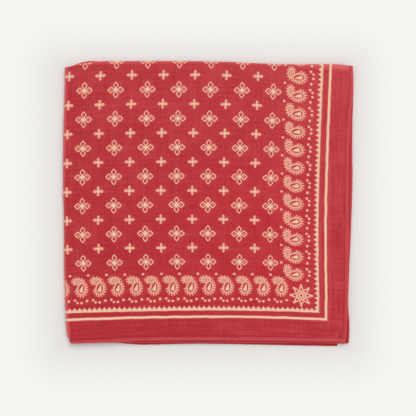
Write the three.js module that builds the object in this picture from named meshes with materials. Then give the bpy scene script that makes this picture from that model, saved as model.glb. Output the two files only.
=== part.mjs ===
// A square cotton bandana, folded in half downwards and then in half sideways, lying flat.
// The second fold is the left edge: the top quarter rolls round into the bottom quarter there.
// The first fold is the top edge: each outer quarter turns inwards in a small roll of its own.
// The hemmed edges of the four quarters fan out at the right and at the bottom.
import * as THREE from "three";

// Sizes in millimetres, +X to the right and +Y to the first fold as the cloth is seen from above.
const WALL = 1.0; // one layer of cloth
const GAP = 0.3; // clearance between layers and at seams
const HEM_WIDTH = 4.0; // the edge turned twice
const HEM_THICK = 1.1; // an outer quarter's hem, turned to the inside
const HEM_ROUND = 0.4; // how soft a hem's corners are
const FOLD_BORE = 0.05; // hollow left in the middle of a small fold at its hemmed end
const FOLD_RADIUS = HEM_THICK + FOLD_BORE;
const STACK_AT_ROLL = 5.7; // height of all four layers at the left roll
const STACK_AT_HEMS = 2 * HEM_THICK + 2 * WALL + 3 * GAP;
const HALF_WIDTH = 143; // half the folded cloth's width
const CALM_SHARE = 0.15; // share of the width, from the roll, over which the swells die out

const PRINTED_RED = "#b93e49";
const WRONG_SIDE_RED = "#b2505a";
const HEM_RED = "#bc444c";

// How far each set of layers lies inside the outer faces of the stack.
const HIDDEN_INSET = WALL + GAP;
const INNER_HEM_INSET = HEM_THICK + GAP;

// Steps along a quarter, round the left roll, over the small top fold and round a hem's corner.
const PANEL_STEPS = 16;
const ROLL_STEPS = 8;
const FOLD_STEPS = 6;
const CORNER_STEPS = 1;

// Where the left roll ends, a row for each section from the hems up to the first fold.
const LEFT_ROLL = [
  { y: -138, x: -136.2 },
  { y: -134, x: -137.6 },
  { y: -129, x: -139.5 },
  { y: -118, x: -140.5 },
  { y: -98, x: -141.5 },
  { y: -60, x: -142.3 },
  { y: -11, x: -142.6 },
  { y: 8, x: -143.3 },
  { y: 38, x: -143.4 },
  { y: 78, x: -143.0 },
  { y: 98, x: -142.3 },
  { y: 127, x: -141.6 },
  { y: 135, x: -141.9 },
];

// Where the two small rolls of the first fold end, the one over the other.
const TOP_FOLDS = [
  { x: -142, upper: 134.9, lower: 134.0 },
  { x: -136, upper: 137.6, lower: 136.8 },
  { x: -129, upper: 139.3, lower: 139.4 },
  { x: -120, upper: 139.9, lower: 141.05 },
  { x: -108, upper: 140.6, lower: 140.4 },
  { x: -92, upper: 140.1, lower: 139.5 },
  { x: -72, upper: 140.6, lower: 139.8 },
  { x: -13, upper: 140.5, lower: 139.6 },
  { x: 26, upper: 139.6, lower: 138.9 },
  { x: 38, upper: 138.8, lower: 138.1 },
  { x: 85, upper: 137.4, lower: 136.6 },
  { x: 125, upper: 137.5, lower: 136.7 },
  { x: 143, upper: 135.5, lower: 134.8 },
];

// The right-hand hemmed edge of each quarter. The outer quarters travel further round the
// left roll, so theirs are drawn in.
const RIGHT_EDGES = [
  { y: -141, top: 128.6, second: 135.2, third: 138.4, bottom: 127.4 },
  { y: -136, top: 129.3, second: 136.0, third: 138.9, bottom: 129.0 },
  { y: -126, top: 131.2, second: 137.2, third: 139.4, bottom: 130.7 },
  { y: -117, top: 133.6, second: 137.6, third: 139.4, bottom: 132.4 },
  { y: -108, top: 136.0, second: 137.9, third: 138.7, bottom: 133.8 },
  { y: -98, top: 137.6, second: 138.0, third: 138.3, bottom: 134.8 },
  { y: -70, top: 137.9, second: 138.8, third: 139.1, bottom: 136.1 },
  { y: -26, top: 138.3, second: 140.6, third: 141.0, bottom: 137.5 },
  { y: 23, top: 139.1, second: 141.8, third: 142.5, bottom: 138.9 },
  { y: 53, top: 139.4, second: 142.0, third: 142.3, bottom: 139.5 },
  { y: 82, top: 140.8, second: 142.3, third: 142.5, bottom: 140.2 },
  { y: 117, top: 142.9, second: 143.2, third: 143.4, bottom: 140.8 },
  { y: 136, top: 142.5, second: 142.3, third: 142.4, bottom: 141.0 },
];

// The lower hemmed edge of each quarter.
const BOTTOM_EDGES = [
  { x: -138, top: -137.9, second: -136.8, third: -137.1, bottom: -138.0 },
  { x: -102, top: -137.3, second: -137.2, third: -137.5, bottom: -137.4 },
  { x: -82, top: -136.7, second: -137.5, third: -137.9, bottom: -138.9 },
  { x: -70, top: -136.3, second: -137.5, third: -137.8, bottom: -139.6 },
  { x: -13, top: -135.5, second: -137.3, third: -137.5, bottom: -138.6 },
  { x: 46, top: -135.5, second: -137.5, third: -137.8, bottom: -139.5 },
  { x: 95, top: -135.7, second: -137.8, third: -138.1, bottom: -140.5 },
  { x: 130, top: -136.3, second: -138.2, third: -138.2, bottom: -141.05 },
  { x: 139, top: -136.3, second: -138.3, third: -138.2, bottom: -141.05 },
];

// Soft swells of the top quarter: middle, half length, half width, turn in degrees and rise.
const SWELLS = [
  { x: 122, y: 40, long: 95, wide: 9, turn: 91, rise: 0.35 },
  { x: 60, y: -122, long: 90, wide: 9, turn: 1, rise: 0.4 },
  { x: -60, y: -124, long: 60, wide: 10, turn: -3, rise: 0.25 },
  { x: -70, y: 70, long: 70, wide: 28, turn: 35, rise: 0.3 },
  { x: 30, y: -20, long: 90, wide: 30, turn: -28, rise: 0.3 },
  { x: -40, y: -60, long: 60, wide: 24, turn: 12, rise: 0.2 },
];

const { lerp, clamp, degToRad } = THREE.MathUtils;

// A smooth curve through one column of a table, read along another.
function curveOf(rows, along, across) {
  const at = rows.map((row) => row[along]);
  const value = rows.map((row) => row[across]);
  const last = rows.length - 1;
  const slope = rows.map((_, i) => {
    const before = Math.max(i - 1, 0);
    const after = Math.min(i + 1, last);
    return (value[after] - value[before]) / (at[after] - at[before]);
  });
  return (wanted) => {
    const p = clamp(wanted, at[0], at[last]);
    const next = at.findIndex((a, i) => i > 0 && p <= a);
    const i = next - 1;
    const span = at[next] - at[i];
    const t = (p - at[i]) / span;
    const ease = t * t * (3 - 2 * t);
    const leave = t * (1 - t) * (1 - t) * span * slope[i];
    const arrive = t * t * (t - 1) * span * slope[next];
    return lerp(value[i], value[next], ease) + leave + arrive;
  };
}

const leftRoll = curveOf(LEFT_ROLL, "y", "x");
const topFold = {
  upper: curveOf(TOP_FOLDS, "x", "upper"),
  lower: curveOf(TOP_FOLDS, "x", "lower"),
};
const LAYERS = ["top", "second", "third", "bottom"];
const rightEdge = {};
const bottomEdge = {};
for (const layer of LAYERS) {
  rightEdge[layer] = curveOf(RIGHT_EDGES, "y", layer);
  bottomEdge[layer] = curveOf(BOTTOM_EDGES, "x", layer);
}

// How far one swell lifts the cloth at a point.
function swellAt({ x: midX, y: midY, long, wide, turn, rise }, x, y) {
  const angle = degToRad(turn);
  const along = ((x - midX) * Math.cos(angle) + (y - midY) * Math.sin(angle)) / long;
  const across = ((y - midY) * Math.cos(angle) - (x - midX) * Math.sin(angle)) / wide;
  return rise * Math.exp(-along * along - across * across);
}

const fromLeft = (x) => clamp((x + HALF_WIDTH) / (2 * HALF_WIDTH), 0, 1);

// Height of the pressed stack, highest at the roll and lowest at the right-hand hems.
const pressedHeight = (x) => lerp(STACK_AT_HEMS, STACK_AT_ROLL, (1 - fromLeft(x)) ** 2);

// Height of the top quarter's upper face, which swells lift a little off the layers below.
function topHeight(x, y) {
  const lift = SWELLS.reduce((sum, swell) => sum + swellAt(swell, x, y), 0);
  return pressedHeight(x) + lift * clamp(fromLeft(x) / CALM_SHARE, 0, 1);
}

// The axis that the left roll turns about at one section.
function rollAxis(y) {
  const radius = pressedHeight(leftRoll(y)) / 2;
  return { x: leftRoll(y) + radius, z: radius, radius };
}

// Points of the stack, by how deep each lies inside its outer faces: under the swollen upper
// face, under the pressed one, above the ground and inside the left roll.
const onTop = (x, y, depth) => new THREE.Vector3(x, y, topHeight(x, y) - depth);
const onInnerTop = (x, y, depth) => new THREE.Vector3(x, y, pressedHeight(x) - depth);
const onGround = (x, y, depth) => new THREE.Vector3(x, y, depth);
function inRoll(turn, y, depth) {
  const axis = rollAxis(y);
  const reach = axis.radius - depth;
  const x = axis.x - reach * Math.sin(turn);
  return new THREE.Vector3(x, y, axis.z + reach * Math.cos(turn));
}

// Shares of a length from 0 to 1, even ones for a turn and ones closer at both ends for a panel.
const evenly = (count) => Array.from({ length: count + 1 }, (_, i) => i / count);
const closerAtEnds = (count) => evenly(count).map((t) => (1 - Math.cos(t * Math.PI)) / 2);

const PANEL_SHARES = closerAtEnds(PANEL_STEPS);
const ROLL_TURNS = evenly(ROLL_STEPS).map((t) => t * Math.PI);
const FOLD_TURNS = evenly(FOLD_STEPS).map((t) => t * Math.PI);

// Stations up a quarter and over its small fold, as each one's y and depth for a depth in the wall.
function foldStations(fromY, foldEnd) {
  const tangent = foldEnd - FOLD_RADIUS;
  const flat = PANEL_SHARES.map((t) => (deep) => ({ y: lerp(fromY, tangent, t), depth: deep }));
  const turned = FOLD_TURNS.slice(1).map((turn) => (deep) => {
    const reach = FOLD_RADIUS - deep;
    return { y: tangent + reach * Math.sin(turn), depth: FOLD_RADIUS - reach * Math.cos(turn) };
  });
  return [...flat, ...turned];
}

// A geometry from points and triangles, turned round if it came out inside out.
function solidOf(points, index) {
  let volume = 0;
  for (let i = 0; i < index.length; i += 3) {
    const [a, b, c] = index.slice(i, i + 3).map((k) => points[k]);
    volume += a.dot(new THREE.Vector3().crossVectors(b, c)) / 6;
  }
  const geometry = new THREE.BufferGeometry().setFromPoints(points);
  geometry.setIndex(volume > 0 ? index : index.toReversed());
  geometry.computeVertexNormals();
  return geometry;
}

// Joins a run of matching rings into one solid. Each end is closed by a strip between the
// ring's first half and its second, which lie opposite each other.
function loft(rings) {
  const size = rings[0].length;
  const index = [];
  const quad = (a, b, c, d) => index.push(a, b, c, a, c, d);
  for (let first = 0; first < (rings.length - 1) * size; first += size) {
    for (let k = 0; k < size; k++) {
      const next = (k + 1) % size;
      quad(first + k, first + next, first + next + size, first + k + size);
    }
  }
  const end = (rings.length - 1) * size;
  for (let k = 0, far = size - 1; far - k > 2; k++, far--) {
    quad(far, far - 1, k + 1, k);
    quad(end + k, end + k + 1, end + far - 1, end + far);
  }
  if (size % 2 === 1) {
    const middle = (size - 1) / 2;
    index.push(middle + 1, middle, middle - 1);
    index.push(end + middle - 1, end + middle, end + middle + 1);
  }
  return solidOf(rings.flat(), index);
}

// Where a share of the width lies before the edges shape it, and where a panel meets its hems.
const plannedX = (share) => lerp(-HALF_WIDTH, HALF_WIDTH - HEM_WIDTH, share);
const panelStart = (layer, x) => bottomEdge[layer](x) + HEM_WIDTH + GAP;
const panelSide = (layer, y) => rightEdge[layer](y) - HEM_WIDTH - GAP;

// A wall one layer thick through rings of outer points and the same points moved inwards.
function wallThrough(columns, pointAt) {
  const rings = columns[0].map((_, row) => {
    const side = (deep) => columns.map((column, i) => pointAt(i, column[row](deep)));
    return [...side(0), ...side(WALL).toReversed()];
  });
  return loft(rings);
}

// The top quarter: from its right edge across the stack and round the left roll to the
// underside, with its far edge turned in over the upper small fold.
function topQuarter() {
  const across = [
    ...PANEL_SHARES.toReversed().map((share) => ({ share, turn: 0 })),
    ...ROLL_TURNS.slice(1).map((turn) => ({ share: 0, turn })),
  ];
  const columns = across.map(({ share }) => {
    const x = plannedX(share);
    return foldStations(panelStart("top", x), topFold.upper(x));
  });
  return wallThrough(columns, (i, { y, depth }) => {
    const { share, turn } = across[i];
    if (turn > 0) return inRoll(turn, y, depth);
    return onTop(lerp(rollAxis(y).x, panelSide("top", y), share), y, depth);
  });
}

// The bottom quarter: flat on the ground from the end of the left roll, with its far edge
// turned in over the lower small fold.
function bottomQuarter() {
  const columns = PANEL_SHARES.map((share) => {
    const x = plannedX(share);
    return foldStations(panelStart("bottom", x), topFold.lower(x));
  });
  return wallThrough(columns, (i, { y, depth }) => {
    const start = rollAxis(y).x + GAP;
    return onGround(lerp(start, panelSide("bottom", y), PANEL_SHARES[i]), y, depth);
  });
}

// The two inner quarters as one solid, rounded at the left where they nest in the outer roll.
function hiddenLayers() {
  const yAt = (share, rise) => {
    const x = plannedX(share);
    const foldEnd = Math.min(topFold.upper(x), topFold.lower(x));
    return lerp(panelStart("second", x), foldEnd - FOLD_RADIUS - GAP, rise);
  };
  const rings = PANEL_SHARES.map((rise) => {
    const face = (place) => (share) => {
      const y = yAt(share, rise);
      return place(lerp(rollAxis(y).x, panelSide("second", y), share), y, HIDDEN_INSET);
    };
    const upper = PANEL_SHARES.toReversed().map(face(onInnerTop));
    const turned = ROLL_TURNS.slice(1, -1).map((turn) => inRoll(turn, yAt(0, rise), HIDDEN_INSET));
    return [...upper, ...turned, ...PANEL_SHARES.map(face(onGround))];
  });
  return loft(rings);
}

// A hem's cross section: x inwards from its edge, y down from its outer face.
function hemSection(thick) {
  const r = HEM_ROUND;
  const shape = new THREE.Shape();
  shape.moveTo(r, 0);
  shape.lineTo(HEM_WIDTH - r, 0);
  shape.quadraticCurveTo(HEM_WIDTH, 0, HEM_WIDTH, r);
  shape.lineTo(HEM_WIDTH, thick - r);
  shape.quadraticCurveTo(HEM_WIDTH, thick, HEM_WIDTH - r, thick);
  shape.lineTo(r, thick);
  shape.quadraticCurveTo(0, thick, 0, thick - r);
  shape.lineTo(0, r);
  shape.quadraticCurveTo(0, 0, r, 0);
  return shape.getPoints(CORNER_STEPS).slice(0, -1);
}

// Each quarter's hems: thickness, depth inside the stack, the face that they follow and the
// small fold that they run to. An outer quarter's hems carry on round the folds.
const HEMS = {
  top: { thick: HEM_THICK, inset: 0, place: onTop, fold: "upper", outer: true },
  second: { thick: WALL, inset: INNER_HEM_INSET, place: onInnerTop, fold: "upper", outer: false },
  third: { thick: WALL, inset: INNER_HEM_INSET, place: onGround, fold: "lower", outer: false },
  bottom: { thick: HEM_THICK, inset: 0, place: onGround, fold: "lower", outer: true },
};

// The hem down a quarter's right side, from above its lower corner to the first fold.
function rightHem(layer) {
  const { thick, inset, place, fold, outer } = HEMS[layer];
  const section = hemSection(thick);
  const foldEnd = topFold[fold](plannedX(1)) - (outer ? 0 : GAP);
  const stations = foldStations(panelStart(layer, plannedX(1)), foldEnd);
  const rings = stations.slice(0, outer ? undefined : PANEL_SHARES.length).map((station) =>
    section.map(({ x: inwards, y: deep }) => {
      const { y, depth } = station(deep);
      return place(rightEdge[layer](y) - inwards, y, inset + depth);
    }),
  );
  return loft(rings);
}

// The hem along a quarter's lower side, from its right-hand corner to the left roll. The top
// quarter's carries on round the roll to the underside.
function bottomHem(layer) {
  const { thick, inset, place } = HEMS[layer];
  const section = hemSection(thick);
  const cornerX = rightEdge[layer](bottomEdge[layer](HALF_WIDTH));
  const clearance = layer === "top" ? 0 : GAP;
  const flat = PANEL_SHARES.toReversed().map((share) => {
    const edge = bottomEdge[layer](plannedX(share));
    return section.map(({ x: inwards, y: deep }) => {
      const y = edge + inwards;
      return place(lerp(rollAxis(y).x + clearance, cornerX, share), y, inset + deep);
    });
  });
  const edge = bottomEdge[layer](-HALF_WIDTH);
  const turned = ROLL_TURNS.slice(1).map((turn) =>
    section.map(({ x: inwards, y: deep }) => inRoll(turn, edge + inwards, inset + deep)),
  );
  return loft(layer === "top" ? [...flat, ...turned] : flat);
}

const voile = (color) => new THREE.MeshStandardMaterial({ color, roughness: 0.9, metalness: 0 });
const bandana = new THREE.Group();

// Adds one named piece of the bandana.
function add(name, geometry, color) {
  const mesh = new THREE.Mesh(geometry, voile(color));
  mesh.name = name;
  bandana.add(mesh);
}

add("top_quarter", topQuarter(), PRINTED_RED);
add("hidden_layers", hiddenLayers(), WRONG_SIDE_RED);
add("bottom_quarter", bottomQuarter(), PRINTED_RED);
for (const layer of LAYERS) {
  add(`${layer}_hem_right`, rightHem(layer), HEM_RED);
  add(`${layer}_hem_bottom`, bottomHem(layer), HEM_RED);
}

export default bandana;
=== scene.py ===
"""A square bandana of printed cotton voile, folded in quarters and lying flat.

The cloth is one square, folded in half downwards and then in half sideways. Each quarter of it is
a thin sheet with its own two hems, and the print runs on from quarter to quarter over the folds.
"""

import ast
import logging
import math
from bisect import bisect_left
from dataclasses import dataclass, field
from enum import Enum
from typing import Any, Callable

import bmesh
import bpy
from mathutils import Matrix, Vector, noise

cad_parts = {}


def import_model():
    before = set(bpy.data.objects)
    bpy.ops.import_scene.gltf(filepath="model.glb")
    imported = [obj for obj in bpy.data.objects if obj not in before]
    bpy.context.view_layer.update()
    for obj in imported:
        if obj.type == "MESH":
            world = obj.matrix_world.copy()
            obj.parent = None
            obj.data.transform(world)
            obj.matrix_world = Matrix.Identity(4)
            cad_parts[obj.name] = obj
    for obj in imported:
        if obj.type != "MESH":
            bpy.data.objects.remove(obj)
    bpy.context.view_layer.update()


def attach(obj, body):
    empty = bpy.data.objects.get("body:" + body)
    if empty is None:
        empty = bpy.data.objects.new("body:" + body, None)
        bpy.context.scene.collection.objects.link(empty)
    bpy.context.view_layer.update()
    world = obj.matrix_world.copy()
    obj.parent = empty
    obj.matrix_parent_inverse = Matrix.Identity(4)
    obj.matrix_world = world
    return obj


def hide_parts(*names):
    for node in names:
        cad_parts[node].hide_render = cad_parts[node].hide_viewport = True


LOG = logging.getLogger("bandana")
MM = 0.001
FLAT_MAP = "flat_cloth"

Curve = Callable[[float], float]
Rows = tuple[tuple[float, ...], ...]
Socket = bpy.types.NodeSocket
Tree = bpy.types.NodeTree

# Edges and folds of the pack in mm, as (place along, place across, ...).
LEFT_ROLL: Rows = (
    (-138, -136.2), (-134, -137.6), (-129, -139.5), (-118, -140.5), (-98, -141.5), (-60, -142.3),
    (-11, -142.6), (8, -143.3), (38, -143.4), (78, -143.0), (98, -142.3), (127, -141.6),
    (135, -141.9),
)
TOP_FOLDS: Rows = (
    (-142, 134.6, 134.2), (-136, 136.3, 137.2), (-129, 137.7, 139.8), (-120, 139.0, 141.05),
    (-108, 140.5, 140.6), (-92, 140.3, 139.5), (-72, 140.6, 139.8), (-13, 140.5, 139.6),
    (26, 139.6, 138.9), (38, 138.8, 138.1), (85, 137.4, 136.6), (125, 137.5, 136.7),
    (143, 135.5, 134.8),
)
RIGHT_EDGES: Rows = (
    (-141, 134.6, 134.4, 138.4, 127.4), (-136, 135.3, 135.0, 138.9, 129.0),
    (-126, 136.1, 135.8, 139.4, 130.7), (-117, 136.7, 136.4, 139.4, 132.4),
    (-108, 137.2, 137.0, 138.7, 133.8), (-98, 137.7, 137.6, 138.3, 134.8),
    (-70, 137.9, 138.8, 139.1, 136.1), (-26, 138.1, 140.6, 141.0, 137.5),
    (23, 138.3, 141.8, 142.5, 138.9), (53, 138.9, 142.0, 142.3, 139.5),
    (82, 140.2, 142.3, 142.5, 140.2), (117, 142.9, 143.2, 143.4, 140.8),
    (136, 142.5, 142.3, 142.4, 141.0),
)
BOTTOM_EDGES: Rows = (
    (-138, -137.9, -136.8, -137.1, -138.0), (-102, -137.0, -137.2, -137.5, -137.4),
    (-82, -135.8, -137.5, -137.9, -138.9), (-70, -135.2, -137.5, -137.8, -139.6),
    (-13, -134.8, -137.3, -137.5, -138.6), (46, -135.0, -137.5, -137.8, -139.5),
    (95, -135.7, -137.8, -138.1, -140.5), (129, -136.1, -138.2, -138.2, -141.05),
    (134, -137.7, -138.3, -138.2, -141.05),
)
# Where the print lies on the unfolded cloth, in mm from its two fold lines: terms of 1, x, y, xx,
# xy, yy, xxx, xxy, xyy and yyy, with x and y in PRINT_SPAN mm. It drifts a little, as the cloth was
# folded slightly off its grain.
PRINT_SPAN = 140.0
PRINT_ACROSS = (145.37, 140.738, -0.686, 0.794, -1.567, -4.241, 0.711, -0.687, 0.308, 1.419)
PRINT_DOWN = (141.26, -1.507, -140.589, -4.138, -1.439, 2.068, -0.8, -0.588, 0.939, -0.457)
# The terms hold between these limits of x and y in mm. Past them the print runs on evenly.
PRINT_LOW = (-152.0, -142.0)
PRINT_HIGH = 144.0
# The print lies this much farther across at the lower right corner, which was pulled askew. It
# sets in from these x and y, over these distances, all in mm.
CORNER_PULL = 1.4
CORNER_FROM = (50.0, -88.0)
CORNER_OVER = (60.0, 30.0)
# Swells that lift the top quarter: middle x, y, half length, half width, turn in degrees, rise.
SWELLS: Rows = (
    (122, 40, 95, 9, 91, 0.35), (60, -122, 90, 9, 1, 0.4), (-60, -124, 60, 10, -3, 0.25),
    (-70, 70, 70, 28, 35, 0.3), (30, -20, 90, 30, -28, 0.3), (-40, -60, 60, 24, 12, 0.2),
)


def clamp(value: float, low: float = 0.0, high: float = 1.0) -> float:
    """A value kept between two limits."""
    return max(low, min(high, value))


def lerp(start: float, end: float, share: float) -> float:
    """The value a share of the way from start to end."""
    return start + (end - start) * share


def smooth(share: float) -> float:
    """An even rise from 0 to 1 with level ends."""
    t = clamp(share)
    return t * t * (3 - 2 * t)


def curve_of(rows: Rows, column: int) -> Curve:
    """A smooth curve through one column of a table.

    Args:
        rows: The table, in rising order of its first column.
        column: The column that the curve gives.

    Returns:
        A function of the first column, held level past the table's ends.
    """
    at = [row[0] for row in rows]
    value = [row[column] for row in rows]
    last = len(rows) - 1
    slope = []
    for i in range(last + 1):
        before, after = max(i - 1, 0), min(i + 1, last)
        slope.append((value[after] - value[before]) / (at[after] - at[before]))

    def read(wanted: float) -> float:
        """The curve's value at one place."""
        p = clamp(wanted, at[0], at[last])
        i = max(bisect_left(at, p), 1) - 1
        gap = at[i + 1] - at[i]
        t = (p - at[i]) / gap
        return (
            (2 * t**3 - 3 * t**2 + 1) * value[i]
            + (t**3 - 2 * t**2 + t) * gap * slope[i]
            + (3 * t**2 - 2 * t**3) * value[i + 1]
            + (t**3 - t**2) * gap * slope[i + 1]
        )

    return read


def print_place(x: float, y: float) -> tuple[float, float]:
    """Where a point of the unfolded cloth lies in the print.

    Args:
        x: Its place across, past the left roll where it goes on below.
        y: Its place up, past the top fold where it goes on below.

    Returns:
        Its distances from the two fold lines in mm, less than 0 past them.
    """
    near_x = clamp(x, PRINT_LOW[0], PRINT_HIGH)
    near_y = clamp(y, PRINT_LOW[1], PRINT_HIGH)
    u, v = near_x / PRINT_SPAN, near_y / PRINT_SPAN
    terms = (1, u, v, u * u, u * v, v * v, u**3, u * u * v, u * v * v, v**3)
    across = sum(weight * term for weight, term in zip(PRINT_ACROSS, terms))
    rightwards = smooth((x - CORNER_FROM[0]) / CORNER_OVER[0])
    downwards = smooth((CORNER_FROM[1] - y) / CORNER_OVER[1])
    across += CORNER_PULL * rightwards * downwards
    down = sum(weight * term for weight, term in zip(PRINT_DOWN, terms))
    return across + x - near_x, down - (y - near_y)


def srgb(code: str) -> tuple[float, float, float, float]:
    """Linear RGBA of an sRGB hex colour such as "#b83c43"."""
    parts = [int(code[i : i + 2], 16) / 255 for i in (1, 3, 5)]
    linear = [c / 12.92 if c <= 0.04045 else ((c + 0.055) / 1.055) ** 2.4 for c in parts]
    return (linear[0], linear[1], linear[2], 1.0)


def add_node(
    tree: Tree,
    kind: str,
    settings: dict[str, Any] | None = None,
    inputs: dict[Any, Any] | None = None,
) -> bpy.types.Node:
    """Adds one node to a tree.

    Args:
        tree: The node tree.
        kind: The node's type name.
        settings: Values of the node's own properties.
        inputs: Sockets to link, or values to set, by input name or number.

    Returns:
        The new node.
    """
    node = tree.nodes.new(kind)
    for name, value in (settings or {}).items():
        setattr(node, name, value)
    for name, value in (inputs or {}).items():
        if isinstance(value, Socket):
            tree.links.new(value, node.inputs[name])
        else:
            node.inputs[name].default_value = value
    return node


def new_material(name: str) -> tuple[bpy.types.Material, Tree]:
    """A new material and its node tree, emptied.

    Args:
        name: The real material's name.

    Returns:
        The material and the tree.
    """
    material = bpy.data.materials.new(name)
    material.use_nodes = True
    material.node_tree.nodes.clear()
    return material, material.node_tree


def tinted(tree: Tree, colour: Any, tints: dict[Socket, str]) -> Socket:
    """A colour with tints laid over it in turn.

    Args:
        tree: The node tree.
        colour: What lies under them, a socket or a linear RGBA.
        tints: The sRGB hex colour of each tint, by the socket that gives its share.

    Returns:
        The tinted colour.
    """
    for share, tint in tints.items():
        inputs = {0: share, 6: colour, 7: srgb(tint)}
        colour = add_node(tree, "ShaderNodeMix", {"data_type": "RGBA"}, inputs).outputs[2]
    return colour


class Chart:
    """Formulas of a printed pattern, drawn as Math nodes in one node tree.

    Besides Python's own signs they use the names in CALLS, and hypot. clip keeps a value between
    0 and 1, wrap(a, high, low) repeats it, and more(a, b) is 1 where a is above b, else 0.
    """

    OPERATORS = {ast.Add: "ADD", ast.Sub: "SUBTRACT", ast.Mult: "MULTIPLY", ast.Div: "DIVIDE"}
    CALLS = {
        "abs": "ABSOLUTE", "min": "MINIMUM", "max": "MAXIMUM", "wrap": "WRAP", "clip": "ADD",
        "atan2": "ARCTAN2", "sin": "SINE", "cos": "COSINE", "more": "GREATER_THAN",
    }

    def __init__(self, tree: Tree, **names: Any) -> None:
        """Starts a chart on a tree with the sockets and numbers that its formulas may name."""
        self.tree = tree
        self.names: dict[str, Any] = dict(names)

    def draw(self, **formulas: str) -> None:
        """Adds the nodes of each formula and keeps its result under its name."""
        for name, text in formulas.items():
            self.names[name] = self.value(ast.parse(text.strip()).body[0].value)

    def value(self, part: ast.expr) -> Any:
        """The socket or number that one part of a formula comes to.

        Args:
            part: The part, as Python's ast module reads it.

        Returns:
            A number, or the output socket of a new Math node.
        """
        if isinstance(part, ast.Constant):
            return float(part.value)
        if isinstance(part, ast.Name):
            return self.names[part.id]
        if isinstance(part, ast.UnaryOp):
            inner = self.value(part.operand)
            return -inner if isinstance(inner, float) else self.math("MULTIPLY", inner, -1.0)
        if isinstance(part, ast.BinOp):
            kind = self.OPERATORS[type(part.op)]
            return self.math(kind, self.value(part.left), self.value(part.right))
        values = [self.value(argument) for argument in part.args]
        kind = part.func.id
        if kind == "hypot":
            squares = [self.math("MULTIPLY", value, value) for value in values]
            return self.math("SQRT", self.math("ADD", *squares))
        while kind in ("min", "max") and len(values) > 2:
            values = [self.math(self.CALLS[kind], values[0], values[1]), *values[2:]]
        return self.math(self.CALLS[kind], *values, clamped=kind == "clip")

    def math(self, operation: str, *values: Any, clamped: bool = False) -> Socket:
        """Adds one Math node.

        Args:
            operation: The node's operation.
            values: Its inputs, numbers or sockets.
            clamped: Whether it keeps its result between 0 and 1.

        Returns:
            The node's output.
        """
        settings = {"operation": operation, "use_clamp": clamped}
        numbers = dict(enumerate((*values, 0.0) if clamped else values))
        return add_node(self.tree, "ShaderNodeMath", settings, numbers).outputs[0]


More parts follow.
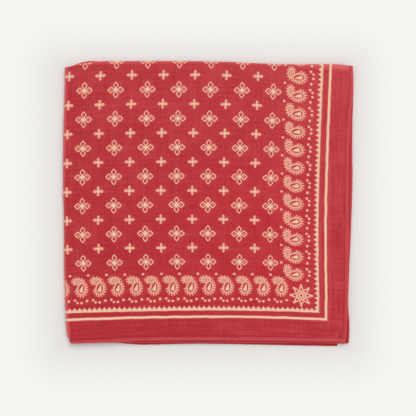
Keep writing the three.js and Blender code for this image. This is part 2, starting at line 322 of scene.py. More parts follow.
@dataclass(frozen=True)
class BandanaPrint:
    """The cream print: a field of flowers and crosses, and a border of paisleys and stripes.

    Sizes are in mm on the flat cloth, from its two fold lines. The motifs of the border are drawn
    on a grid of their own, one unit of which is motif_unit.
    """

    flower_u: float = 20.85
    flower_v: float = 1.2
    pitch_u: float = 31.0
    pitch_v: float = 28.26
    right_stripe: float = 262.7
    bottom_stripe: float = 254.6
    bottom_squeeze: float = 0.972
    paisley_v: float = 30.67
    paisley_u: float = 52.9
    paisley_pitch_v: float = 17.78
    paisley_pitch_u: float = 18.14
    motif_unit: float = 0.985
    motif_middle: float = -33.2
    motif_slant: float = 0.04

    def draw(self, chart: Chart) -> None:
        """Draws the whole print from the chart's u and v.

        Args:
            chart: A chart with u and v in mm. It gets "ink", how far a point lies inside a motif
                in mm, less than 0 outside.
        """
        self.draw_field(chart)
        self.draw_border(chart)
        self.draw_paisley(chart)
        self.draw_corner(chart)
        chart.draw(ink="max(field, motif, stripe, toothed, corner)")

    def draw_field(self, chart: Chart) -> None:
        """Draws the staggered rows of four-petalled flowers and small crosses.

        Args:
            chart: The print's chart, as the methods below take it too. p and q are the distances
                past the middle of the plain stripe, to the right and downwards.
        """
        half_u, half_v = self.pitch_u / 2, self.pitch_v / 2
        chart.draw(
            p=f"abs(u) - {self.right_stripe}",
            q=f"(abs(v) - {self.bottom_stripe}) / {self.bottom_squeeze}",
            fx=f"abs(wrap(u - {self.flower_u}, {half_u}, {-half_u}))",
            fy=f"abs(wrap(v - {self.flower_v}, {half_v}, {-half_v}))",
            gx=f"{half_u} - fx",
            gy=f"{half_v} - fy",
            lean="abs(max(fx, fy) - 4.6)",
            slim="min(fx, fy) * (1.24 - 0.2 * more(fx, fy))",
            petal="0.6 * (slim + lean) + 0.4 * hypot(slim, lean)",
            seed="0.4 - hypot(fx - 4.3, fy)",
            flower="max(0.46 - abs(petal - 2.82), 1.85 - hypot(fx, fy), seed)",
            reach="(max(gx, gy) - 2.95) / (1.45 - 0.2 * more(gy, gx))",
            side="min(gx, gy) * (0.96 + 0.2 * more(gy, gx))",
            lobe="hypot(reach, side)",
            cross="min(max(1.16 - lobe, 1.45 - hypot(gx, gy)), lobe - 0.4)",
            field="min(max(flower, cross), -46.8 - p, -48.4 - q)",
        )

    def draw_border(self, chart: Chart) -> None:
        """Draws the plain stripe and the toothed line, and sets out the border's repeats.

        Args:
            chart: The print's chart. x and y get the place in one repeat, y growing outwards.
        """
        half_v, half_u = self.paisley_pitch_v / 2, self.paisley_pitch_u / 2
        chart.draw(
            c="max(p, q)",
            stripe="1.1 - abs(c)",
            turned="more(p, q)",
            run="abs(v) * turned + abs(u) * (1 - turned)",
            tooth="abs(wrap(run, 2.48, -2.48))",
            line="c + 8.4 - 0.4 * (1 - turned)",
            slit="max(abs(tooth - 1.75) - 0.2, line - 0.1)",
            leaf="min((line + 3.4) * 0.62 - tooth, -line)",
            toothed="min(max(1.25 - 0.2 * turned - abs(line), leaf), slit)",
            right_band="min(p + 46.8, -38.3 - q, max(p + 41, -46.5 - q))",
            bottom_band="min(q + 48.4, -38.3 - p)",
            upright="more(right_band, 0)",
            along_v=f"wrap(abs(v) - {self.paisley_v}, {half_v}, {-half_v})",
            along_u=f"wrap(abs(u) - {self.paisley_u}, {half_u}, {-half_u})",
            band="right_band * upright + bottom_band * (1 - upright)",
            y=f"(p * upright + q * (1 - upright) - {self.motif_middle}) / {self.motif_unit}",
            across=f"(along_v * upright + along_u * (1 - upright)) / {self.motif_unit}",
            x=f"across + y * {self.motif_slant} * (1 - 2 * upright)",
        )

    def draw_paisley(self, chart: Chart) -> None:
        """Draws one repeat of the border: a fringed paisley with its dots.

        Args:
            chart: The print's chart.
        """
        tilt = math.radians(8)
        lashes, fronds = 16, 13
        chart.draw(
            dx="x - 1.45",
            dy="y - 2.2",
            bx=f"dx * {math.cos(tilt)} + dy * {math.sin(tilt)}",
            by=f"dy * {math.cos(tilt)} - dx * {math.sin(tilt)}",
            ex="bx / (3.7 + 0.07 * by)",
            ey="by / 5.9",
            e="hypot(ex, ey)",
            r="hypot(bx, by)",
            outside="r - r / max(e, 0.01)",
            outline="0.38 - abs(outside)",
            split="x * 0.62 + y * 0.78 + 3.0",
            low="by / 1.16",
            round="hypot(bx, low)",
            swirl="outside * 0.1 + 0.76",
            spoke=f"abs(wrap(atan2(low, bx) * {lashes / math.tau} + swirl, 0.5, -0.5))",
            notch="clip((1.4 - x) * 0.4) * clip((3.4 - y) * 0.4) * 2",
            lash="min(0.41 - spoke * round * 0.4, 2.9 - notch - outside, outside + 0.3, split)",
            hx="x + 1.75",
            hy="(y + 5.0 - x * 0.1) * 1.45",
            hr="hypot(hx, hy)",
            curl="min(0.42 - abs(hr - 4) * 0.75, 0.7 - split)",
            coil="min(0.38 - abs(hr - 1.7) * 0.8, 0.7 - split)",
            bend="hr * 0.06 + 0.25",
            tuft=f"abs(wrap(atan2(-hy, -hx) * {fronds / math.tau} + bend, 0.5, -0.5))",
            comb=f"0.41 - tuft * hr * {math.tau / fronds} * 0.85",
            frond="min(comb, 7.1 - hr, hr - 3.9, 0.9 - split, 0.3 - hy * 0.25 - min(hx, 0) * 0.4)",
            head="max(curl, frond, coil)",
            rise="clip(((x - 1.28) * 1.17 - (y - 4.1) * 5) / 26.4)",
            sx="x - 1.28 - 1.17 * rise",
            sy="y - 4.1 + 5 * rise",
            drop="1.75 - 1.4 * rise - hypot(sx, sy)",
            paisley="max(outline, lash, min(head, outside + 0.3), drop)",
            between="wrap(x - 8.2, 9.1, -9.1)",
            inner_dot="1.0 - hypot(between, y + 11.7)",
            outer_dot="1.1 - hypot(between + 1.3, y - 14.8)",
            repeat="max(paisley, inner_dot, outer_dot)",
        )
        for dot_x, dot_y, radius in ((-5.3, 14.2, 1.0), (-2.8, 16.7, 1.0), (1.33, 16.6, 1.05)):
            chart.draw(repeat=f"max(repeat, {radius} - hypot(x - {dot_x}, y - {dot_y}))")
        chart.draw(motif="min(repeat, band)")

    def draw_corner(self, chart: Chart) -> None:
        """Draws the round rosette that fills the border's corner.

        Args:
            chart: The print's chart.
        """
        petals = 8
        chart.draw(
            rx="p + 25.4",
            ry="q + 24.2",
            r="hypot(rx, ry)",
            wedge=f"wrap(atan2(ry, rx) * {petals / math.tau}, 0.5, -0.5) * {math.tau / petals}",
            out="(r * cos(wedge) - 6.4) / 3.1",
            off="r * sin(wedge) / 1.95",
            loop="hypot(out, off)",
            bead="hypot(r - 10.6, wedge * r)",
            corner="max(0.5 - abs(loop - 0.8) * 2.4, 0.6 - abs(r - 2.1), 1.05 - bead)",
        )


@dataclass(frozen=True)
class CottonVoile:
    """Cotton voile, a thin plain weave of fine twisted threads, screen-printed and washed.

    It is matt with a faint bloom at grazing angles, the threads are uneven, so faint streaks run
    both ways, and the layer below shows through a little. Its ground is painted paler up and to the
    right and a fuller red towards the lower right, as painted light and haze from the upper right.
    It is painted pale along the folds as a painted sheen, and darker as painted shade in the small
    pleat at the free corner, whose place is in mm from the two fold lines.
    """

    name: str = "printed cotton voile"
    ground: str = "#b02e36"
    # The pale tint: the cloth's own mottle and streaks, and painted light up and to the right.
    ground_light: str = "#c6464d"
    # The tint of the painted sheen along the folds and hem edges.
    worn: str = "#e66e72"
    # The tint of the painted shade in the pleat and inside the hems.
    deep: str = "#96202a"
    # The fuller red where the painted light's haze is least, towards the lower right.
    rich: str = "#c8202a"
    motif: str = "#eac9aa"
    bleed: str = "#e25c58"
    ghost: str = "#cf6a68"
    printed: bool = True
    ghost_share: float = 0.18
    thread_mm: float = 0.8
    roughness: float = 0.9
    specular: float = 0.1
    sheen: float = 0.15
    sheen_roughness: float = 0.45
    pleat_u: float = 276.4
    pleat_v: float = 271.0

    @property
    def wear(self) -> dict[str, str]:
        """Formulas for the painted sheen along the folds, and the painted shade in the pleat."""
        # The first is a painted sheen along the roll and the top fold, the last a painted shade
        # along the pleat.
        return {
            "fold": "max(clip(1.3 - abs(x) / 3.4) * 0.84, clip(1.3 - abs(y) / 4) * 0.66)",
            "pleat": f"abs(x - {self.pleat_u} + (y - {self.pleat_v}) * 0.2) / 1.2",
            "kept": f"clip(1.4 - pleat - clip(({self.pleat_v} - y) / 8) * 1.6) * 0.7",
        }

    def build(self) -> bpy.types.Material:
        """Makes the material.

        Returns:
            The material, patterned on the piece's flat-cloth UV map.
        """
        material, tree = new_material(self.name)
        flat = add_node(tree, "ShaderNodeUVMap", {"uv_map": FLAT_MAP})
        to_mm = {0: flat.outputs[0], "Scale": 1 / MM}
        place = add_node(tree, "ShaderNodeVectorMath", {"operation": "SCALE"}, to_mm).outputs[0]
        split = add_node(tree, "ShaderNodeSeparateXYZ", {}, {0: place})
        cloth = Chart(tree, place=place, x=split.outputs[0], y=split.outputs[1])
        colour = self.ground_colour(cloth)
        if self.printed:
            colour = self.print_over(cloth, colour)
        shader = add_node(
            tree,
            "ShaderNodeBsdfPrincipled",
            {},
            {
                "Base Color": colour,
                "Roughness": self.roughness,
                "Sheen Weight": self.sheen,
                "Sheen Roughness": self.sheen_roughness,
                "Specular IOR Level": self.specular,
                "Normal": self.weave(cloth),
            },
        )
        add_node(tree, "ShaderNodeOutputMaterial", {}, {"Surface": shader.outputs[0]})
        return material

    def streaks(self, cloth: Chart, scale: tuple[float, ...]) -> Socket:
        """Uneven threads along one direction of the cloth, from 0 to 1.

        Args:
            cloth: The cloth's chart, with its place in mm, as all the methods below take it.
            scale: How often the streaks change, per mm, along each direction.

        Returns:
            The streaks' value.
        """
        inputs = {0: cloth.names["place"], 1: scale}
        stretched = add_node(
            cloth.tree, "ShaderNodeVectorMath", {"operation": "MULTIPLY"}, inputs
        )
        threads = add_node(
            cloth.tree,
            "ShaderNodeTexNoise",
            {"noise_dimensions": "2D"},
            {"Vector": stretched.outputs[0], "Scale": 1.0, "Detail": 2.0, "Roughness": 0.6},
        )
        return threads.outputs[0]

    def ground_colour(self, cloth: Chart) -> Socket:
        """The streaked ground: painted light paler up and right, fuller below, painted sheen and
        shade.

        Args:
            cloth: The cloth's chart.

        Returns:
            The ground's colour.
        """
        names = cloth.names
        for name, scale in (("mottle", 0.035), ("fine", 0.45)):
            spots = add_node(
                cloth.tree,
                "ShaderNodeTexNoise",
                {"noise_dimensions": "2D"},
                {"Vector": names["place"], "Scale": scale, "Detail": 3.0, "Roughness": 0.6},
            )
            names[name] = spots.outputs[0]
        names["warp"] = self.streaks(cloth, (0.5, 0.02, 0.0))
        names["weft"] = self.streaks(cloth, (0.02, 0.5, 0.0))
        # The first formula is painted light: paler towards the top and the right, as if lit from
        # the upper right. The pale tint mixes it with the cloth's own mottle and streaks. The
        # fuller red towards the lower right is where the painted light's haze is least.
        cloth.draw(
            wash="0.45 - abs(y) * 0.0016 + x * x * 0.0000045",
            beside="clip((abs(x) - 235) / 30)",
            below="clip((abs(y) - 235) / 30)",
            spots="(mottle - 0.5) * 0.9 + (fine - 0.5) * 0.9",
            threads="(warp - 0.5) * (0.8 + beside) + (weft - 0.5) * (0.9 + below)",
            light="clip(wash + spots + threads)",
            full="clip(x / 190) * clip(y / 150) * (0.26 - 0.17 * max(beside, below))",
            **self.wear,
        )
        # Tints in turn: painted light with the cloth's own mottle, the fuller red where the painted
        # haze is least, the painted sheen at the folds, and painted shade.
        tints = {
            names["light"]: self.ground_light,
            names["full"]: self.rich,
            names["fold"]: self.worn,
            names["kept"]: self.deep,
        }
        return tinted(cloth.tree, srgb(self.ground), tints)

    def print_over(self, cloth: Chart, ground: Socket) -> Socket:
        """The ground with the print over it, and the next layer's print faintly through it.

        Args:
            cloth: The cloth's chart.
            ground: The ground's colour.

        Returns:
            The printed colour.
        """
        names = cloth.names
        wander = add_node(
            cloth.tree,
            "ShaderNodeTexNoise",
            {"noise_dimensions": "2D"},
            {"Vector": names["place"], "Scale": 0.09, "Detail": 1.0},
        )
        shift = add_node(cloth.tree, "ShaderNodeSeparateXYZ", {}, {0: wander.outputs[1]})
        names["nx"], names["ny"] = shift.outputs[0], shift.outputs[1]
        cloth.draw(
            u="x + (nx - 0.5) * 0.9",
            v="y + (ny - 0.5) * 0.9",
            gu="x - 3.2 * clip(abs(y) / 150) - 0.6",
            gv="y - 0.6",
        )
        settings = {"node_tree": print_group()}
        for name, across, down in (("top", "u", "v"), ("under", "gu", "gv")):
            inputs = {"u": names[across], "v": names[down]}
            names[name] = add_node(cloth.tree, "ShaderNodeGroup", settings, inputs).outputs[0]
        cloth.draw(
            through=f"clip(under / 2 + 0.5) * {self.ghost_share}",
            bled="clip(top / 1.2 + 0.85)",
            inked="clip(top / 0.8 + 0.5)",
        )
        inks = {
            names["through"]: self.ghost,
            names["bled"]: self.bleed,
            names["inked"]: self.motif,
        }
        return tinted(cloth.tree, ground, inks)

    def weave(self, cloth: Chart) -> Socket:
        """The bump of the plain weave, its threads drawn twice as wide as they are, to show.

        Args:
            cloth: The cloth's chart.

        Returns:
            The bumped normal.
        """
        turn = math.pi / self.thread_mm
        cloth.names["slub_x"] = self.streaks(cloth, (0.9, 0.05, 0.0))
        cloth.names["slub_y"] = self.streaks(cloth, (0.05, 0.9, 0.0))
        cloth.draw(height=f"sin(x * {turn}) * sin(y * {turn}) * 0.25 + slub_x + slub_y")
        inputs = {"Strength": 0.35, "Distance": 0.1 * MM, "Height": cloth.names["height"]}
        return add_node(cloth.tree, "ShaderNodeBump", {}, inputs).outputs[0]


@dataclass(frozen=True)
class HemVoile(CottonVoile):
    """The same voile in a turned hem, y being the distance from its turned edge.

    The edge is painted pale as a painted sheen, and the row of stitches and all that lies inwards
    of it are painted darker as painted shade, from covered_from on.
    """

    printed: bool = False
    sheen: float = 0.05
    # The painted sheen's share on the edge, then where the painted shade starts and its share.
    rubbed: float = 0.3
    covered_from: float = 3.0
    covered_share: float = 0.35

    @property
    def wear(self) -> dict[str, str]:
        """Formulas for the painted sheen on the hem's edge, and the painted shade farther in."""
        # The first is a painted sheen along the turned edge, the second a painted shade farther in.
        return {
            "fold": f"clip(1.8 - y / 0.8) * {self.rubbed}",
            "kept": f"clip((y - {self.covered_from}) / 0.7) * {self.covered_share}",
        }


def print_group() -> Tree:
    """The bandana's print as a node group, made once.

    Returns:
        The group, from u and v to how far inside a motif the point lies.
    """
    name = "bandana print"
    if name in bpy.data.node_groups:
        return bpy.data.node_groups[name]
    tree = bpy.data.node_groups.new(name, "ShaderNodeTree")
    for socket in ("u", "v"):
        tree.interface.new_socket(socket, in_out="INPUT", socket_type="NodeSocketFloat")
    tree.interface.new_socket("ink", in_out="OUTPUT", socket_type="NodeSocketFloat")
    source = add_node(tree, "NodeGroupInput")
    chart = Chart(tree, u=source.outputs[0], v=source.outputs[1])
    BandanaPrint().draw(chart)
    add_node(tree, "NodeGroupOutput", {}, {0: chart.names["ink"]})
    return tree


@dataclass(frozen=True)
class SewingThread:
    """Spun polyester sewing thread, twisted from two plies: a low soft shine and a fine twist."""

    name: str = "spun polyester sewing thread"
    colour: str = "#9a2b34"

    def build(self) -> bpy.types.Material:
        """Makes the material, with the twist as bands about 1 mm apart on each stitch."""
        material, tree = new_material(self.name)
        where = add_node(tree, "ShaderNodeTexCoord")
        twist = add_node(
            tree,
            "ShaderNodeTexWave",
            {"bands_direction": "DIAGONAL"},
            {"Vector": where.outputs["Object"], "Scale": 600.0, "Distortion": 1.0},
        )
        inputs = {"Strength": 0.4, "Distance": 0.05 * MM, "Height": twist.outputs["Fac"]}
        bump = add_node(tree, "ShaderNodeBump", {}, inputs)
        shader = add_node(
            tree,
            "ShaderNodeBsdfPrincipled",
            {},
            {
                "Base Color": srgb(self.colour),
                "Roughness": 0.6,
                "Specular IOR Level": 0.4,
                "Normal": bump.outputs[0],
            },
        )
        add_node(tree, "ShaderNodeOutputMaterial", {}, {"Surface": shader.outputs[0]})
        return material


class Layer(Enum):
    """The four quarters of the folded cloth, from the top one down."""

    TOP = 1
    SECOND = 2
    THIRD = 3
    BOTTOM = 4

    @property
    def upper(self) -> bool:
        """Whether the quarter hangs from the upper of the two top folds."""
        return self in (Layer.TOP, Layer.SECOND)

    @property
    def outer(self) -> bool:
        """Whether the quarter is an outer face of the pack."""
        return self in (Layer.TOP, Layer.BOTTOM)


@dataclass
class FoldedForm:
    """The shape of the folded pack: its outline, its height and how its surface wanders.

    Sizes are in mm.
    """

    stack_at_roll: float = 5.7
    stack_at_hems: float = 5.1
    half_width: float = 143.0
    fold_radius: float = 1.0
    least_radius: float = 0.12
    hem_width: float = 4.0
    slow_crumple: tuple[float, float] = (0.16, 34.0)
    quick_crumple: tuple[float, float] = (0.06, 9.0)
    calm_share: float = 0.15
    left: Curve = field(default_factory=lambda: curve_of(LEFT_ROLL, 1))
    folds: tuple[Curve, Curve] = field(
        default_factory=lambda: (curve_of(TOP_FOLDS, 1), curve_of(TOP_FOLDS, 2))
    )
    rights: dict[Layer, Curve] = field(
        default_factory=lambda: {layer: curve_of(RIGHT_EDGES, layer.value) for layer in Layer}
    )
    bottoms: dict[Layer, Curve] = field(
        default_factory=lambda: {layer: curve_of(BOTTOM_EDGES, layer.value) for layer in Layer}
    )

    def fold(self, layer: Layer, x: float, turn: float = 0.0) -> float:
        """The top fold's height up the page at x, turn radians down round the left roll."""
        upper, lower = self.folds[0](x), self.folds[1](x)
        return lerp(upper, lower, turn / math.pi) if layer.upper else lower

    def bottom(self, layer: Layer, x: float, turn: float = 0.0) -> float:
        """The lower edge at x, turn radians down round the left roll."""
        edge, under = self.bottoms[layer](x), self.bottoms[Layer.BOTTOM](x)
        return lerp(edge, under, turn / math.pi) if layer is Layer.TOP else edge

    def pressed(self, x: float) -> float:
        """The height of the pressed stack at x."""
        share = clamp((x + self.half_width) / (2 * self.half_width))
        return lerp(self.stack_at_hems, self.stack_at_roll, (1 - share) ** 2)

    def swell(self, x: float, y: float) -> float:
        """How far the long soft swells lift the top quarter, less near the roll.

        Args:
            x: Where it is across.
            y: Where it is up the page.

        Returns:
            The lift.
        """
        lift = 0.0
        for mid_x, mid_y, long, wide, turn, rise in SWELLS:
            angle = math.radians(turn)
            dx, dy = x - mid_x, y - mid_y
            along = (dx * math.cos(angle) + dy * math.sin(angle)) / long
            across = (dy * math.cos(angle) - dx * math.sin(angle)) / wide
            lift += rise * math.exp(-along * along - across * across)
        return lift * clamp((x + self.half_width) / (2 * self.half_width) / self.calm_share)

    def crumple(self, x: float, y: float, seed: float) -> float:
        """The small unevenness of the cloth, in slow and quick waves of a (height, length).

        Args:
            x: Where it is across.
            y: Where it is up the page.
            seed: What sets one layer's waves apart from another's.

        Returns:
            The rise.
        """
        (slow_rise, slow_mm), (quick_rise, quick_mm) = self.slow_crumple, self.quick_crumple
        slow = noise.noise(Vector((x / slow_mm, y / slow_mm, seed)))
        quick = noise.noise(Vector((x / quick_mm, y / quick_mm, seed + 5)))
        return slow_rise * slow + quick_rise * quick

    def roll_radius(self, y: float) -> float:
        """The outer radius of the left roll at y."""
        return self.pressed(self.left(y)) / 2

    def place(
        self, layer: Layer, x: float, y: float, depth: float, turn: float | None = None
    ) -> Vector:
        """A point of the pack.

        Args:
            layer: The quarter that it belongs to.
            x: Where it is across, where it isn't in the roll.
            y: Where it is up the page.
            depth: How far it lies inside the outer faces.
            turn: Radians down round the left roll from its top, in the roll.

        Returns:
            The point, in metres, never below the flat underside.
        """
        if turn is not None:
            radius = self.roll_radius(y)
            reach = max(radius - depth, self.least_radius)
            across = self.left(y) + radius - reach * math.sin(turn)
            return Vector((across, y, max(radius + reach * math.cos(turn), 0.0))) * MM
        if not layer.upper:
            return Vector((x, y, max(depth, 0.0))) * MM
        lift = self.swell(x, y) if layer is Layer.TOP else 0.0
        return Vector((x, y, self.pressed(x) + lift - depth)) * MM


def finish_piece(
    name: str, mesh: bmesh.types.BMesh, materials: list[bpy.types.Material]
) -> bpy.types.Object:
    """Makes an object of a bmesh, smooth-shaded and with its materials.

    Args:
        name: The object's name.
        mesh: The bmesh, which is freed.
        materials: The materials, in slot order.

    Returns:
        The new object, linked to the scene.
    """
    data = bpy.data.meshes.new(name)
    for face in mesh.faces:
        face.smooth = True
    mesh.to_mesh(data)
    mesh.free()
    for material in materials:
        data.materials.append(material)
    piece = bpy.data.objects.new(name, data)
    bpy.context.scene.collection.objects.link(piece)
    return piece


def write_flat_map(
    mesh: bmesh.types.BMesh, flat: dict[bmesh.types.BMVert, tuple[float, float]]
) -> None:
    """Writes where each vertex is on the flat cloth as the mesh's UV map.

    Args:
        mesh: The bmesh.
        flat: Each vertex's place, in metres.
    """
    layer = mesh.loops.layers.uv.new(FLAT_MAP)
    for face in mesh.faces:
        for loop in face.loops:
            loop[layer].uv = flat[loop.vert]


def even(count: int) -> list[float]:
    """Even shares from 0 to 1."""
    return [i / count for i in range(count + 1)]


def closer_at_ends(count: int, crowding: float = 0.35) -> list[float]:
    """Shares from 0 to 1 that lie a little closer at both ends."""
    return [lerp(t, (1 - math.cos(t * math.pi)) / 2, crowding) for t in even(count)]


@dataclass
class QuarterCloth:
    """One quarter of the bandana's panel as a thin sheet, with its share of the folds.

    Sizes are in mm. The sheet laps under its hems and dips beside them, where the seam draws it
    into long puckers. The top one has a small pleat, which passes pleat_middle, moves pleat_lean
    across for each mm up, and ends at a height of pleat_top.
    """

    layer: Layer
    form: FoldedForm
    cells: int
    thickness: float = 0.3
    roll_steps: int = 14
    fold_steps: int = 8
    lap: float = 0.5
    tuck: float = 0.6
    tuck_over: float = 1.4
    calm_over: float = 6.0
    rolled_calm: float = 0.25
    pucker_rise: float = 0.2
    pucker_long: float = 8.0
    pucker_short: float = 2.8
    pucker_over: float = 11.0
    pleat_middle: tuple[float, float] = (129.8, -130.0)
    pleat_lean: float = 0.17
    pleat_wide: float = 1.1
    pleat_deep: float = 0.8
    pleat_top: float = -122.0

    @property
    def name(self) -> str:
        """The piece's name."""
        return f"{self.layer.name.lower()}_quarter_cloth"

    @property
    def rest_depth(self) -> float:
        """How deep the printed face lies inside the pack."""
        return 0.0 if self.layer.outer else 2 * self.form.fold_radius

    def across_stations(self) -> list[tuple[float, float | None]]:
        """Stations from left to right.

        Returns:
            Each station's share of the flat width, and its turn round the roll if it is in it.
        """
        flat = [(share, None) for share in closer_at_ends(self.cells)]
        if self.layer is Layer.BOTTOM:
            return flat
        ends = {
            Layer.TOP: (math.pi, 0.0),
            Layer.SECOND: (math.pi / 2, 0.0),
            Layer.THIRD: (math.pi / 2, math.pi),
        }[self.layer]
        steps = self.roll_steps if self.layer is Layer.TOP else self.roll_steps // 2
        return [(0.0, lerp(*ends, share)) for share in even(steps)][:-1] + flat

    def up_stations(self) -> list[tuple[float, float]]:
        """Stations from the hem to the fold.

        Returns:
            Each station's share of the flat height, and its angle round the fold.
        """
        flat = [(share, 0.0) for share in closer_at_ends(self.cells)]
        if not self.layer.outer:
            return flat
        return flat + [(1.0, math.pi * share) for share in even(self.fold_steps)[1:]]

    def build(self, printed: bpy.types.Material, wrong: bpy.types.Material) -> bpy.types.Object:
        """Builds the sheet and dresses it.

        Args:
            printed: The material of the printed face.
            wrong: The material of the wrong side.

        Returns:
            The finished piece.
        """
        across, up = self.across_stations(), self.up_stations()
        columns, rows = len(across) - 1, len(up) - 1
        mesh = bmesh.new()
        bmesh.ops.create_grid(mesh, x_segments=columns, y_segments=rows, size=1)
        flat = {}
        for vert in mesh.verts:
            i = round((vert.co.x + 1) / 2 * columns)
            j = round((vert.co.y + 1) / 2 * rows)
            vert.co, flat[vert] = self.vertex(across[i], up[j])
        write_flat_map(mesh, flat)
        if self.layer in (Layer.SECOND, Layer.BOTTOM):
            bmesh.ops.reverse_faces(mesh, faces=mesh.faces)
        piece = finish_piece(self.name, mesh, [printed, wrong])
        shell = piece.modifiers.new("cloth thickness", "SOLIDIFY")
        shell.thickness = self.thickness * MM
        shell.offset = -1.0
        shell.material_offset = 1
        return piece

    def vertex(
        self, across: tuple[float, float | None], up: tuple[float, float]
    ) -> tuple[Vector, tuple[float, float]]:
        """Where one vertex of the sheet goes, and where it is on the flat cloth.

        Args:
            across: Its station from left to right.
            up: Its station from the hem to the fold.

        Returns:
            The point in metres, and its flat-cloth place in metres from the two fold lines.
        """
        form, layer = self.form, self.layer
        share, turn = across
        climb, bend = up
        turned = turn or 0.0
        nominal = lerp(-form.half_width, form.half_width - form.hem_width, share)
        tuck_in = form.hem_width - self.lap
        low = form.bottom(layer, nominal, turned) + tuck_in
        high = form.fold(layer, nominal, turned) - form.fold_radius
        y = lerp(low, high, climb)
        radius = form.roll_radius(y)
        axis = form.left(y) + radius
        x = lerp(axis, form.rights[layer](y) - tuck_in, share)
        depth = self.rest_depth
        over = form.fold_radius * (bend if layer.outer else math.pi)
        unfolded_y = y + over if layer.outer else 2 * high - y + over
        if bend:
            y = high + form.fold_radius * math.sin(bend)
            depth = form.fold_radius * (1 - math.cos(bend))
        unfolded_x = axis - radius * turned
        if turn is None:
            below = axis - radius * math.pi - (x - axis)
            unfolded_x = x if layer.upper else below
        depth += self.sink(x, y, bend, turn)
        point = form.place(layer, x, y, depth, turn)
        printed_x, printed_y = print_place(unfolded_x, unfolded_y)
        return point, (printed_x * MM, printed_y * MM)

    def sink(self, x: float, y: float, bend: float, turn: float | None) -> float:
        """How far the sheet dips at a point.

        Args:
            x: Where it is across, in mm.
            y: Where it is up the page, in mm.
            bend: Its angle of the top fold.
            turn: Its angle round the left roll, if it is in the roll.

        Returns:
            The dip in mm, of the crumples, the tuck into the hems, the puckers and the pleat.
        """
        form, layer = self.form, self.layer
        from_right = form.rights[layer](y) - form.hem_width - x
        from_bottom = y - form.bottom(layer, x, turn or 0.0) - form.hem_width
        near = from_bottom if turn is not None else min(from_right, from_bottom)
        dip = self.tuck * (1 - smooth(near / self.tuck_over))
        rolled = turn is not None or bend > 0
        ease = smooth(near / self.calm_over) * (self.rolled_calm if rolled else 1.0)
        long, short = self.pucker_long, self.pucker_short
        spread = (long, short) if from_right < from_bottom else (short, long)
        pucker = noise.noise(Vector((x / spread[0], y / spread[1], layer.value + 9.0)))
        fade = (1 - smooth(near / self.pucker_over)) * smooth(near / 2)
        edge = self.pucker_rise * pucker * fade
        pleat = 0.0
        if layer is Layer.TOP:
            middle = self.pleat_middle[0] + (y - self.pleat_middle[1]) * self.pleat_lean
            aside = (x - middle) / self.pleat_wide
            pleat = self.pleat_deep * math.exp(-aside * aside) * smooth((self.pleat_top - y) / 10)
        return dip + edge + pleat - form.crumple(x, y, layer.value) * ease


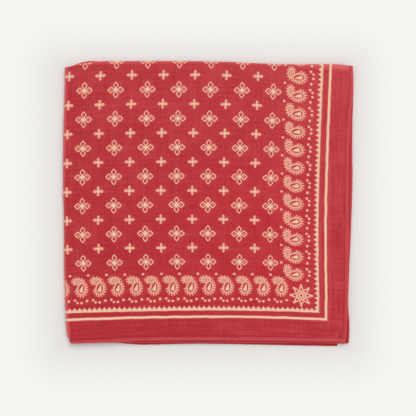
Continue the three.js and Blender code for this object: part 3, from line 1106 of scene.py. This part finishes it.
@dataclass
class TurnedHem:
    """One narrow hem: the edge turned under twice and stitched down near its inner side.

    Sizes are in mm. The seam dents it and puckers it, and the last share of an outer hem, past
    turn_from, turns round the fold or the roll.
    """

    layer: Layer
    form: FoldedForm
    upright: bool
    steps: int = 190
    ring: int = 16
    length: float = 280.0
    turn_from: float = 0.97
    wander: float = 0.22
    seam_at: float = 3.3
    seam_wide: float = 0.45
    stitch_length: float = 2.3
    thread_radius: float = 0.2
    puckers: float = 120.0
    pucker_share: float = 0.34

    @property
    def name(self) -> str:
        """The piece's name."""
        return f"{self.node}_cloth"

    @property
    def node(self) -> str:
        """The CAD node that the hem stands for."""
        return f"{self.layer.name.lower()}_hem_{'right' if self.upright else 'bottom'}"

    @property
    def thick(self) -> float:
        """The hem's thickness in mm."""
        return 1.1 if self.layer.outer else 0.9

    @property
    def inset(self) -> float:
        """How deep the hem's outer face lies inside the pack."""
        return 0.0 if self.layer.outer else 1.6

    @property
    def dent(self) -> float:
        """The share of its thickness that the seam presses in."""
        return 0.7 if self.upright else 0.3

    def point(self, along: float, inwards: float, deep: float) -> Vector:
        """A point of the hem.

        Args:
            along: The share of its length, from the free corner.
            inwards: Distance from its edge, in mm.
            deep: Distance below its outer face, in mm.

        Returns:
            The point in metres.
        """
        form, layer = self.form, self.layer
        start = self.turn_from
        bend = max(along - start, 0) / (1 - start) * math.pi if layer.outer else 0.0
        share = min(along / start, 1.0) if layer.outer else along
        wave = noise.noise(Vector((along * 40, layer.value * 7.0, self.upright * 3.0)))
        wave *= self.wander
        dent = self.dent * math.exp(-(((inwards - self.seam_at) / self.seam_wide) ** 2))
        seed = layer.value + self.upright * 2
        pucker = noise.noise(Vector((along * self.puckers, inwards / 3, seed)))
        squash = dent * (0.95 + 0.5 * pucker) + self.pucker_share * pucker
        middle = self.thick / 2
        deep = middle + (deep - middle) * (1 - clamp(squash, -0.2, 0.85))
        if self.upright:
            low = form.bottom(layer, form.half_width) + form.hem_width * 0.2
            high = form.fold(layer, form.half_width - form.hem_width) - form.fold_radius
            y = lerp(low, high, share)
            x = form.rights[layer](y) - inwards - wave
            if bend:
                inner = max(form.fold_radius - deep, 0.05)
                y = high + inner * math.sin(bend)
                deep = form.fold_radius - inner * math.cos(bend)
            return form.place(layer, x, y, self.inset + deep)
        corner = form.rights[layer](form.bottom(layer, form.half_width)) - 0.3
        nominal = lerp(corner, -form.half_width + 3, share)
        edge = form.bottom(layer, nominal, bend)
        y = edge + inwards + wave
        x = lerp(corner, form.left(y) + form.roll_radius(y) + (0 if layer.outer else 0.3), share)
        turning = bend if bend and layer is Layer.TOP else None
        return form.place(layer, x, y, self.inset + deep, turning)

    def build(self, cloth: bpy.types.Material, thread: bpy.types.Material) -> bpy.types.Object:
        """Builds the hem with its stitches.

        Args:
            cloth: The material of the hem's cloth.
            thread: The material of the stitches.

        Returns:
            The finished piece.
        """
        mesh = bmesh.new()
        bmesh.ops.create_grid(mesh, x_segments=self.steps, y_segments=self.ring, size=1)
        flat = {}
        for vert in mesh.verts:
            along = (vert.co.x + 1) / 2
            angle = (vert.co.y + 1) * math.pi
            # Powers below 1 square the round section off into a flat one with rounded sides.
            c, s = math.cos(angle), math.sin(angle)
            inwards = self.form.hem_width / 2 * (1 + math.copysign(abs(c) ** 0.62, c))
            deep = self.thick / 2 * (1 - math.copysign(abs(s) ** 0.7, s))
            reach = along if self.upright else 1 - along
            flat[vert] = (reach * self.length * MM, (inwards + deep * 0.5) * MM)
            vert.co = self.point(along, inwards, deep)
        write_flat_map(mesh, flat)
        bmesh.ops.remove_doubles(mesh, verts=mesh.verts, dist=1e-6)
        bmesh.ops.holes_fill(mesh, edges=[e for e in mesh.edges if e.is_boundary], sides=0)
        bmesh.ops.recalc_face_normals(mesh, faces=mesh.faces)
        self.sew(mesh)
        # The lowest hems are pressed flat on the table, and so are their stitches.
        for vert in mesh.verts:
            vert.co.z = max(vert.co.z, 0.0)
        return finish_piece(self.name, mesh, [cloth, thread])

    def sew(self, mesh: bmesh.types.BMesh) -> None:
        """Adds the row of stitches on both faces of the hem.

        Args:
            mesh: The hem's bmesh.
        """
        count = int(self.length / self.stitch_length)
        sewn_to = self.turn_from - 0.005
        for face_share in (0.02, 0.98):
            for i in range(1, count):
                # A stitch fills four fifths of its pitch, and dives in between.
                start = (i + 0.1) / count
                end = (i + 0.9) / count
                if self.layer.outer and end > sewn_to:
                    continue
                a = self.point(start, self.seam_at, self.thick * face_share)
                b = self.point(end, self.seam_at, self.thick * face_share)
                along = b - a
                turn = along.to_track_quat("X", "Z").to_matrix().to_4x4()
                radius = self.thread_radius * MM
                size = Matrix.Diagonal((along.length / 2, radius, radius, 1))
                made = bmesh.ops.create_icosphere(
                    mesh,
                    subdivisions=1,
                    radius=1,
                    matrix=Matrix.Translation((a + b) / 2) @ turn @ size,
                )
                for vert in made["verts"]:
                    for face in vert.link_faces:
                        face.material_index = 1


@dataclass
class FoldedBandana:
    """The whole bandana: four quarters of one cloth and its eight stretches of hem."""

    form: FoldedForm = field(default_factory=FoldedForm)
    cells: dict[Layer, int] = field(
        default_factory=lambda: {
            Layer.TOP: 200, Layer.SECOND: 90, Layer.THIRD: 90, Layer.BOTTOM: 150,
        }
    )

    def build(self) -> None:
        """Builds every piece and ties it to the frame."""
        printed = CottonVoile().build()
        # The wrong side's ground is darker than the printed face's, as painted shade for where it
        # shows in the shaded gaps under the top quarter.
        wrong = CottonVoile(
            name="printed cotton voile, wrong side",
            ground="#9c2832",
            ground_light="#b03a44",
            motif="#d6a692",
            bleed="#c0504f",
            ghost_share=0.1,
            sheen=0.05,
        ).build()
        # The top hems' ground is lighter than the panel's, partly for the thicker turned cloth and
        # partly as a painted highlight on their lit ridges.
        hem_cloth = HemVoile(
            name="cotton voile, turned hem",
            ground="#b8373f",
            ground_light="#cf4d54",
            worn="#de6066",
        ).build()
        # The lower quarters' hems are shaded copies of the hem cloth, as painted shade beneath the
        # top hem's edge: darker grounds, the lower hems darker still, and more painted shade
        # farther in.
        covered_cloth = {
            upright: HemVoile(
                name=f"cotton voile, covered {'side' if upright else 'lower'} hem",
                ground="#b0303a" if upright else "#ac2a33",
                ground_light="#c4464e" if upright else "#ba3c45",
                worn="#d8585e",
                rubbed=0.35,
                covered_from=1.6,
                covered_share=0.35 if upright else 0.8,
            ).build()
            for upright in (True, False)
        }
        thread = SewingThread().build()
        # Each quarter is half of the 576 mm cut across, and as much less up as the pack shows.
        for layer in Layer:
            quarter = QuarterCloth(layer, self.form, self.cells[layer])
            cloth = quarter.build(printed, wrong)
            for upright in (True, False):
                hem = TurnedHem(layer, self.form, upright)
                cloth_here = hem_cloth if layer is Layer.TOP else covered_cloth[upright]
                piece = hem.build(cloth_here, thread)
                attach(piece, "root")
                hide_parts(hem.node)
                LOG.info("%s: %d faces", piece.name, len(piece.data.polygons))
            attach(cloth, "root")
            if layer.outer:
                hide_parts(f"{layer.name.lower()}_quarter")
            else:
                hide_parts("hidden_layers")
            LOG.info("%s: %d faces", cloth.name, len(cloth.data.polygons))


@dataclass
class Studio:
    """A plain pale table, soft light from above and the camera straight over the cloth.

    Sizes are in metres. The table is painted a little greyer under the cloth and round it, a
    painted shadow with its middle and half sizes here, which fades out over shade_reach.
    """

    picture_pixels: float = 416.0
    pixel: float = 0.000985
    lens: float = 85.0
    sensor: float = 36.0
    middle: tuple[float, float] = (-0.0003, -0.0043)
    cloth_top: float = 0.005
    floor_colour: str = "#f6f5f1"
    # The grey of the painted shadow round the cloth.
    floor_near: str = "#e6e4e0"
    floor_half: float = 15.0
    floor_drop: float = 0.00005
    shade_middle: tuple[float, float] = (-0.003, -0.0035)
    shade_half: tuple[float, float] = (0.141, 0.1365)
    shade_reach: float = 0.045
    room_light: float = 0.66
    key_place: tuple[float, float, float] = (1.0, 1.9, 2.3)
    key_energy: float = 0.88
    key_angle: float = 0.5
    top_place: tuple[float, float, float] = (0.1, 0.0, 2.4)
    top_energy: float = 8.5
    top_size: float = 1.8

    def build(self) -> None:
        """Builds the camera, the lights and the floor."""
        self.add_camera()
        self.add_lights()
        self.add_floor()
        bpy.context.scene.view_settings.view_transform = "Standard"

    def add_camera(self) -> None:
        """Adds the camera, looking straight down."""
        data = bpy.data.cameras.new("camera")
        data.lens = self.lens
        data.sensor_width = self.sensor
        camera = bpy.data.objects.new("camera", data)
        height = self.picture_pixels * self.pixel * self.lens / self.sensor
        camera.location = (*self.middle, self.cloth_top + height)
        bpy.context.scene.collection.objects.link(camera)
        bpy.context.scene.camera = camera

    def add_lights(self) -> None:
        """Adds a wide soft light from the upper right, one above, and a white room's even light."""
        world = bpy.data.worlds.new("white room")
        world.use_nodes = True
        background = world.node_tree.nodes["Background"]
        background.inputs["Color"].default_value = (1.0, 1.0, 1.0, 1.0)
        background.inputs["Strength"].default_value = self.room_light
        bpy.context.scene.world = world
        key = bpy.data.lights.new("window side softbox", "SUN")
        key.angle = self.key_angle
        key.energy = self.key_energy
        top = bpy.data.lights.new("overhead softbox", "AREA")
        top.shape = "DISK"
        top.size = self.top_size
        top.energy = self.top_energy
        for data, place in ((key, self.key_place), (top, self.top_place)):
            light = bpy.data.objects.new(data.name, data)
            light.location = place
            light.rotation_mode = "QUATERNION"
            light.rotation_quaternion = (-Vector(place)).to_track_quat("-Z", "Y")
            bpy.context.scene.collection.objects.link(light)

    def add_floor(self) -> None:
        """Adds the pale table top, a board rolled with matt paint, so with no gloss or grain."""
        mesh = bmesh.new()
        bmesh.ops.create_grid(mesh, x_segments=8, y_segments=8, size=self.floor_half)
        bmesh.ops.translate(mesh, verts=mesh.verts, vec=(0, 0, -self.floor_drop))
        material, tree = new_material("matt painted board")
        where = add_node(tree, "ShaderNodeTexCoord")
        split = add_node(tree, "ShaderNodeSeparateXYZ", {}, {0: where.outputs["Object"]})
        chart = Chart(tree, x=split.outputs[0], y=split.outputs[1])
        # A painted shadow: the board is greyer under and round the cloth, fading out over
        # shade_reach.
        chart.draw(
            ax=f"max(abs(x - {self.shade_middle[0]}) - {self.shade_half[0]}, 0)",
            ay=f"max(abs(y - {self.shade_middle[1]}) - {self.shade_half[1]}, 0)",
            far=f"clip(hypot(ax, ay) / {self.shade_reach})",
            ease="far * (1.25 - 0.25 * far)",
        )
        paint = tinted(tree, srgb(self.floor_near), {chart.names["ease"]: self.floor_colour})
        shader = add_node(
            tree,
            "ShaderNodeBsdfPrincipled",
            {},
            {"Base Color": paint, "Roughness": 0.9, "Specular IOR Level": 0.1},
        )
        add_node(tree, "ShaderNodeOutputMaterial", {}, {"Surface": shader.outputs[0]})
        floor = finish_piece("floor", mesh, [material])


def main() -> None:
    logging.basicConfig(level=logging.INFO, format="%(name)s: %(message)s")
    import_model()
    Studio().build()
    FoldedBandana().build()


if __name__ == "__main__":
    main()
